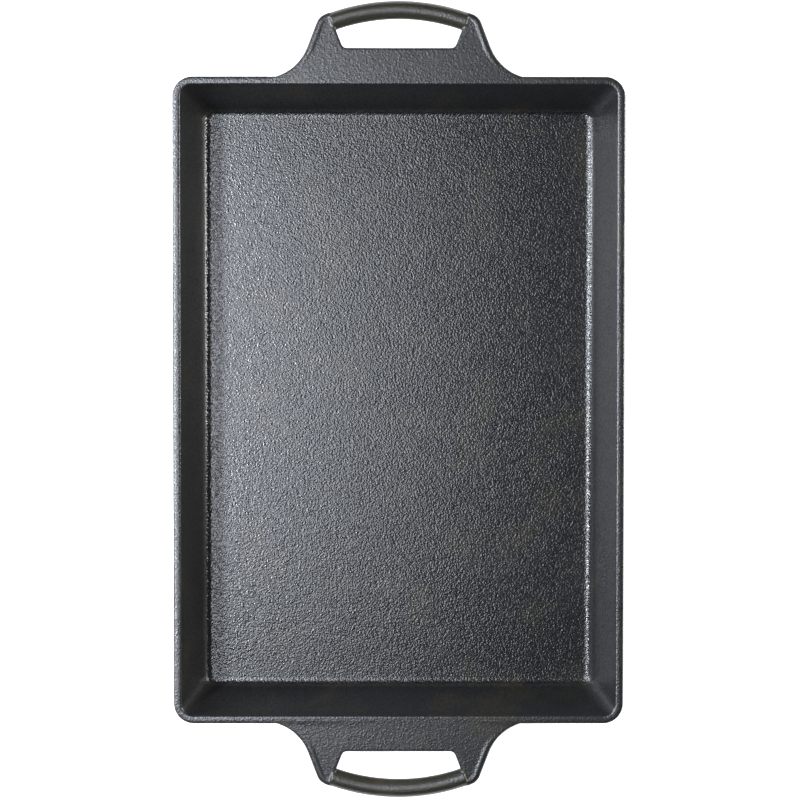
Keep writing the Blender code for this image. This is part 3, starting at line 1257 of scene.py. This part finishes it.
@dataclass(frozen=True)
class SeasonedIron:
    """Finish of the whole casting: black iron with a baked-on coat of oil.
    The inner walls' colour is darker than the rest: painted shade inside the pan.
    """

    skin: ZoneFinish = ZoneFinish((0.023, 0.023, 0.023), 0.27, 0.00110, 0.00024, 0.5, 0.3, 0.8)
    floor: ZoneFinish = ZoneFinish((0.018, 0.018, 0.018), 0.16, 0.00120, 0.00034, 1.0, 0.4, 0.9)
    # The inner walls' colour, darker than the skin's, is painted shade inside the pan; their
    # roughness and grain are the iron's own.
    wall: ZoneFinish = ZoneFinish((0.016, 0.016, 0.017), 0.42, 0.00140, 0.00040, 1.0, 0.2, 0.8)
    grip: ZoneFinish = ZoneFinish((0.020, 0.018, 0.009), 0.36, 0.00120, 0.00026, 1.0, 0.2, 0.4)
    pit_roughness: float = 0.15
    speck_gloss: float = 0.08
    patch_size: float = 0.0350
    patch_share: float = 0.18
    patch_roughness: float = 0.15
    stain: Colour = (0.036, 0.030, 0.018)
    stain_share: float = 0.6
    refraction: float = 1.8


class GrainGroup:
    """Shader node group: the raised grain that sand leaves on a casting."""

    NAME = "cast_grain"
    NOISE_ROUGHNESS = 0.6
    PIT_FULL = 0.40
    PIT_END = 0.56

    def __init__(self) -> None:
        """Build the group."""
        self.tree = bpy.data.node_groups.new(self.NAME, "ShaderNodeTree")
        usual = SeasonedIron().floor
        add_sockets(self.tree, "INPUT", {
            "Place": ("NodeSocketVector", None),
            "Size": ("NodeSocketFloat", usual.grain_size),
            "Detail": ("NodeSocketFloat", usual.detail),
            "Sharpness": ("NodeSocketFloat", usual.sharpness),
        })
        add_sockets(self.tree, "OUTPUT", {
            "Height": ("NodeSocketFloat", None),
            "Pits": ("NodeSocketFloat", None),
        })
        build = NodeBuilder(self.tree)
        given = build.add("NodeGroupInput")
        scale = build.math("DIVIDE", 1.0, given.outputs["Size"])
        soft = build.add("ShaderNodeTexNoise", inputs={
            "Vector": given.outputs["Place"],
            "Scale": scale,
            "Detail": given.outputs["Detail"],
            "Roughness": self.NOISE_ROUGHNESS,
        })
        cells = build.add("ShaderNodeTexVoronoi", {"feature": "F1"}, {
            "Vector": given.outputs["Place"],
            "Scale": scale,
        })
        pebble = build.math("SUBTRACT", 1.0, cells.outputs["Distance"])
        height = build.mix(given.outputs["Sharpness"], soft.outputs[0], pebble)
        # Pits are the grain's low places. The material darkens them, partly as painted shade in the
        # hollows and partly as duller oil, and makes them rougher.
        pits = build.remap(soft.outputs[0], self.PIT_FULL, self.PIT_END, 1.0, 0.0)
        build.add("NodeGroupOutput", inputs={"Height": height, "Pits": pits})


class PatchGroup:
    """Shader node group: patches where the baked oil lies thicker or thinner."""

    NAME = "seasoning_patches"
    PATCH_DETAIL = 4.0
    PATCH_ROUGHNESS = 0.6
    STAIN_START = 0.50
    STAIN_FULL = 0.66
    SPECKS_PER_PATCH = 22.0
    SPECK_DETAIL = 2.0
    SPECK_START = 0.62
    SPECK_FULL = 0.74

    def __init__(self) -> None:
        """Build the group."""
        self.tree = bpy.data.node_groups.new(self.NAME, "ShaderNodeTree")
        usual = SeasonedIron()
        add_sockets(self.tree, "INPUT", {
            "Place": ("NodeSocketVector", None),
            "Size": ("NodeSocketFloat", usual.patch_size),
            "Amount": ("NodeSocketFloat", usual.patch_share),
        })
        add_sockets(self.tree, "OUTPUT", {
            "Patches": ("NodeSocketFloat", None),
            "Stain": ("NodeSocketFloat", None),
            "Specks": ("NodeSocketFloat", None),
        })
        build = NodeBuilder(self.tree)
        given = build.add("NodeGroupInput")
        scale = build.math("DIVIDE", 1.0, given.outputs["Size"])
        broad = build.add("ShaderNodeTexNoise", inputs={
            "Vector": given.outputs["Place"],
            "Scale": scale,
            "Detail": self.PATCH_DETAIL,
            "Roughness": self.PATCH_ROUGHNESS,
        })
        centred = build.math("MULTIPLY_ADD", broad.outputs[0], 2.0, -1.0)
        patches = build.math("MULTIPLY", centred, given.outputs["Amount"])
        stain = build.remap(broad.outputs[0], self.STAIN_START, self.STAIN_FULL, 0.0, 1.0)
        fine = build.add("ShaderNodeTexNoise", inputs={
            "Vector": given.outputs["Place"],
            "Scale": build.math("MULTIPLY", scale, self.SPECKS_PER_PATCH),
            "Detail": self.SPECK_DETAIL,
        })
        specks = build.remap(fine.outputs[0], self.SPECK_START, self.SPECK_FULL, 0.0, 1.0)
        build.add("NodeGroupOutput", inputs={
            "Patches": patches,
            "Stain": stain,
            "Specks": specks,
        })


def zone_share(build: NodeBuilder, zone: Zone) -> bpy.types.NodeSocket:
    """Read a zone's share at each point of the surface."""
    node = build.add("ShaderNodeAttribute", {"attribute_name": zone.value})
    return node.outputs["Fac"]


class IronMaterial:
    """Material of the casting, with a finish of its own in each zone."""

    def __init__(self, finish: SeasonedIron, grain: GrainGroup, patches: PatchGroup) -> None:
        """Build the material.

        Args:
            finish: Colours, roughness and grain.
            grain: Group that makes the grain.
            patches: Group that makes the patches.
        """
        self.finish = finish
        self.grain = grain
        self.material = bpy.data.materials.new("seasoned_iron_cast")
        self.material.use_nodes = True
        self.material.node_tree.nodes.clear()
        self.build = NodeBuilder(self.material.node_tree)
        place = self.build.add("ShaderNodeTexCoord").outputs["Object"]
        self.shares = {zone: zone_share(self.build, zone) for zone in Zone}
        patch = self.build.add("ShaderNodeGroup", {"node_tree": patches.tree}, {
            "Place": place,
            "Size": finish.patch_size,
            "Amount": finish.patch_share,
        })
        height, pits = self.zoned_grain(place)
        bump = self.build.add("ShaderNodeBump", inputs={
            "Strength": 1.0,
            "Distance": MILLIMETRE,
            "Height": height,
        })
        shader = self.build.add("ShaderNodeBsdfPrincipled", inputs={
            "Base Color": self.zoned_colour(patch, pits),
            "Roughness": self.zoned_roughness(patch, pits),
            "IOR": finish.refraction,
            "Normal": bump.outputs["Normal"],
        })
        self.build.add("ShaderNodeOutputMaterial", inputs={"Surface": shader.outputs["BSDF"]})

    def zoned_colour(
        self, patch: bpy.types.Node, pits: bpy.types.NodeSocket
    ) -> bpy.types.NodeSocket:
        """Mix the zones' colours, darker in the pits, with brown stains and paler patches.
        The darker pits are partly painted shade in the grain's hollows and partly the duller oil
        that lies there. The inner walls' darker colour is painted shade inside the pan.

        Args:
            patch: Node of the patches' group.
            pits: How much of a pit each point is.

        Returns:
            The colour.
        """
        finish = self.finish
        build = self.build
        colour = build.mix_colour(
            self.shares[Zone.FLOOR], (*finish.skin.colour, 1.0), (*finish.floor.colour, 1.0)
        )
        # The inner walls' darker colour is painted shade inside the pan.
        colour = build.mix_colour(self.shares[Zone.WALL], colour, (*finish.wall.colour, 1.0))
        colour = build.mix_colour(self.shares[Zone.GRIP], colour, (*finish.grip.colour, 1.0))
        stained = build.math("MULTIPLY", patch.outputs["Stain"], finish.stain_share)
        colour = build.mix_colour(stained, colour, (*finish.stain, 1.0))
        tone_and_pit_shade = build.math("ADD", patch.outputs["Patches"], 1.0)
        # Darker in the pits: partly painted shade in the grain's hollows, partly the duller oil
        # that lies there.
        tone_and_pit_shade = build.math("SUBTRACT", tone_and_pit_shade, pits)
        lit = build.add("ShaderNodeVectorMath", {"operation": "SCALE"}, {
            0: colour,
            "Scale": tone_and_pit_shade,
        })
        return lit.outputs["Vector"]

    def zoned_roughness(
        self, patch: bpy.types.Node, pits: bpy.types.NodeSocket
    ) -> bpy.types.NodeSocket:
        """Mix the zones' roughness, duller in the pits and glossier on the specks.

        Args:
            patch: Node of the patches' group.
            pits: How much of a pit each point is.

        Returns:
            The roughness.
        """
        finish = self.finish
        build = self.build
        rough = build.mix(self.shares[Zone.FLOOR], finish.skin.roughness, finish.floor.roughness)
        rough = build.mix(self.shares[Zone.WALL], rough, finish.wall.roughness)
        rough = build.mix(self.shares[Zone.GRIP], rough, finish.grip.roughness)
        rough = build.math(
            "MULTIPLY_ADD", patch.outputs["Patches"], finish.patch_roughness, rough
        )
        rough = build.math(
            "MULTIPLY_ADD", patch.outputs["Specks"], -finish.speck_gloss, rough
        )
        return build.math("MULTIPLY_ADD", pits, finish.pit_roughness, rough)

    def grain_of(self, place: bpy.types.NodeSocket, finish: ZoneFinish) -> tuple:
        """Grain of one zone.

        Args:
            place: Object coordinates.
            finish: Finish of the zone.

        Returns:
            Height in millimetres, and how much of a pit each point is.
        """
        build = self.build
        node = build.add("ShaderNodeGroup", {"node_tree": self.grain.tree}, {
            "Place": place,
            "Size": finish.grain_size,
            "Detail": finish.detail,
            "Sharpness": finish.sharpness,
        })
        millimetres = finish.grain_height / MILLIMETRE
        height = build.math("MULTIPLY", node.outputs["Height"], millimetres)
        return height, build.math("MULTIPLY", node.outputs["Pits"], finish.pit_share)

    def zoned_grain(self, place: bpy.types.NodeSocket) -> tuple:
        """Mix the zones' grain.

        Args:
            place: Object coordinates.

        Returns:
            Height in millimetres, and how much of a pit each point is.
        """
        finish = self.finish
        height, pits = self.grain_of(place, finish.skin)
        zones = ((Zone.FLOOR, finish.floor), (Zone.WALL, finish.wall), (Zone.GRIP, finish.grip))
        for zone, zone_finish in zones:
            own_height, own_pits = self.grain_of(place, zone_finish)
            height = self.build.mix(self.shares[zone], height, own_height)
            pits = self.build.mix(self.shares[zone], pits, own_pits)
        return height, pits


@dataclass(frozen=True)
class SoftBox:
    """A soft lamp: where it stands, how large it is and how much light it gives."""

    name: str
    place: Place
    aim: Place
    width: float
    length: float
    radiance: float
    colour: Colour = (1.0, 1.0, 1.0)


@dataclass
class Studio:
    """Camera, lamps, pale floor and world around the pan."""

    camera_place: Place = (-0.0016, 0.0383, 0.9587)
    camera_turn: tuple[float, float, float] = (-1.425, -0.149, 0.038)
    focal_pixels: float = 1493.7
    picture_pixels: float = 800.0
    sensor: float = 36.0
    shift_y: float = -0.03
    near_clip: float = 0.01
    floor_size: float = 8.0
    floor_colour: Colour = (0.80, 0.80, 0.80)
    floor_glow: float = 0.80
    world_light: float = 0.20
    horizon: float = 0.5
    zenith: float = 0.0
    band_low: float = 0.06
    band_high: float = 0.30
    lamps: list[SoftBox] = field(default_factory=lambda: [
        SoftBox("bank", (-0.72, 0.04, 1.20), (-0.72, 0.04, 0.0), 0.18, 1.00, 38.0, COOL_LIGHT),
        SoftBox("strip", (-0.24, 0.0, 1.20), (-0.24, 0.0, 0.0), 0.20, 1.00, 7.5, COOL_LIGHT),
        SoftBox("key", (-0.22, 0.18, 1.20), (-0.22, 0.18, 0.0), 0.16, 0.40, 12.0, COOL_LIGHT),
        SoftBox("left_low", (-1.15, 0.35, 0.38), (0.0, 0.0, 0.03), 0.4, 0.8, 14.0, COOL_LIGHT),
        SoftBox("right_low", (1.20, 0.20, 0.28), (0.0, 0.0, 0.03), 0.35, 0.7, 16.0),
    ])

    def camera(self) -> None:
        """Set the camera over the pan, as in the photograph."""
        data = bpy.data.cameras.new("camera")
        data.sensor_fit = "HORIZONTAL"
        data.sensor_width = self.sensor
        data.lens = self.focal_pixels * self.sensor / self.picture_pixels
        data.shift_y = self.shift_y
        data.clip_start = self.near_clip
        item = new_object("camera", data)
        item.location = self.camera_place
        item.rotation_euler = [math.radians(angle) for angle in self.camera_turn]
        bpy.context.scene.camera = item

    def lamp(self, box: SoftBox) -> None:
        """Hang one soft lamp.

        Args:
            box: The lamp.
        """
        data = bpy.data.lights.new(box.name, "AREA")
        data.shape = "RECTANGLE"
        data.size = box.width
        data.size_y = box.length
        data.energy = box.radiance * math.pi * box.width * box.length
        data.color = box.colour
        item = new_object(box.name, data)
        item.location = box.place
        direction = Vector(box.aim) - Vector(box.place)
        item.rotation_euler = direction.to_track_quat("-Z", "Y").to_euler()

    def seen_rays(self, build: NodeBuilder) -> bpy.types.NodeSocket:
        """Pick out the rays that see the background: from the camera, gloss and glass.

        Args:
            build: Builder of the material's tree.

        Returns:
            1 for such a ray, 0 for any other.
        """
        path = build.add("ShaderNodeLightPath")
        seen = build.math(
            "MAXIMUM", path.outputs["Is Camera Ray"], path.outputs["Is Glossy Ray"]
        )
        return build.math("MAXIMUM", seen, path.outputs["Is Transmission Ray"])

    def floor(self) -> None:
        """Lay the pale floor, which reaches white away from the pan's shadow."""
        bm = bmesh.new()
        bmesh.ops.create_grid(bm, x_segments=1, y_segments=1, size=self.floor_size / 2)
        item = object_from_bmesh("studio_floor", bm)
        material = bpy.data.materials.new("pale_floor")
        material.use_nodes = True
        material.node_tree.nodes.clear()
        build = NodeBuilder(material.node_tree)
        plain = build.add("ShaderNodeBsdfDiffuse", inputs={"Color": (*self.floor_colour, 1.0)})
        glow = build.add("ShaderNodeEmission", inputs={
            "Strength": build.math("MULTIPLY", self.seen_rays(build), self.floor_glow),
        })
        both = build.add("ShaderNodeAddShader", inputs={
            0: plain.outputs["BSDF"],
            1: glow.outputs["Emission"],
        })
        build.add("ShaderNodeOutputMaterial", inputs={"Surface": both.outputs["Shader"]})
        item.data.materials.append(material)

    def world(self) -> None:
        """Make a white backdrop, mirrored near the horizon only, under a dark ceiling."""
        world = bpy.data.worlds.new("studio_world")
        world.use_nodes = True
        world.node_tree.nodes.clear()
        build = NodeBuilder(world.node_tree)
        direction = build.add("ShaderNodeTexCoord").outputs["Generated"]
        height = build.add("ShaderNodeSeparateXYZ", inputs={"Vector": direction}).outputs["Z"]
        seen = build.remap(height, self.band_low, self.band_high, self.horizon, self.zenith)
        path = build.add("ShaderNodeLightPath")
        behind = build.math(
            "MAXIMUM", path.outputs["Is Camera Ray"], path.outputs["Is Transmission Ray"]
        )
        lit = build.mix(path.outputs["Is Glossy Ray"], self.world_light, seen)
        strength = build.mix(behind, lit, 1.0)
        back = build.add("ShaderNodeBackground", inputs={
            "Color": (1.0, 1.0, 1.0, 1.0),
            "Strength": strength,
        })
        build.add("ShaderNodeOutputWorld", inputs={"Surface": back.outputs["Background"]})
        bpy.context.scene.world = world

    def build(self) -> None:
        """Set up the whole studio."""
        self.camera()
        for box in self.lamps:
            self.lamp(box)
        self.floor()
        self.world()
        bpy.context.scene.view_settings.view_transform = "Standard"


def finish_piece(
    item: bpy.types.Object, skin: CastSkinTree, relief: SkinRelief,
    material: bpy.types.Material, node: str,
) -> None:
    """Give a piece its cast skin and its place in the frame, hide the CAD part that it stands for
    and log its triangles.

    Args:
        item: Piece with its zones marked.
        skin: Tree that lays the skin.
        relief: Sizes of the skin's relief.
        material: The iron.
        node: CAD node that the piece stands for.
    """
    piece = skin.lay_on(item, relief, material)
    piece.data.set_sharp_from_angle(angle=SHARP_ANGLE)
    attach(piece, BODY)
    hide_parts(node)
    piece.data.calc_loop_triangles()
    LOG.info("%s: %d triangles", piece.name, len(piece.data.loop_triangles))


def main() -> None:
    """Build the studio and the pan."""
    logging.basicConfig(level=logging.INFO, format="%(name)s %(message)s")
    Studio().build()
    LOG.info("studio built")
    tray = Tray()
    handle = Handle(tray)
    rods = BentRodTree()
    skin = CastSkinTree()
    relief = SkinRelief()
    tray_relief = SkinRelief(grain_height=0.0)
    iron = IronMaterial(SeasonedIron(), GrainGroup(), PatchGroup()).material
    block = Casting(tray, handle).rounded_block()
    back = handle.build(block, rods)
    front = handle.turned(back)
    body = tray.build(block)
    discard(block)
    for item in (back, front):
        handle.mark_zones(item.data)
    finish_piece(body, skin, tray_relief, iron, "tray")
    finish_piece(back, skin, relief, iron, "handle_back")
    finish_piece(front, skin, relief, iron, "handle_front")


if __name__ == "__main__":
    main()
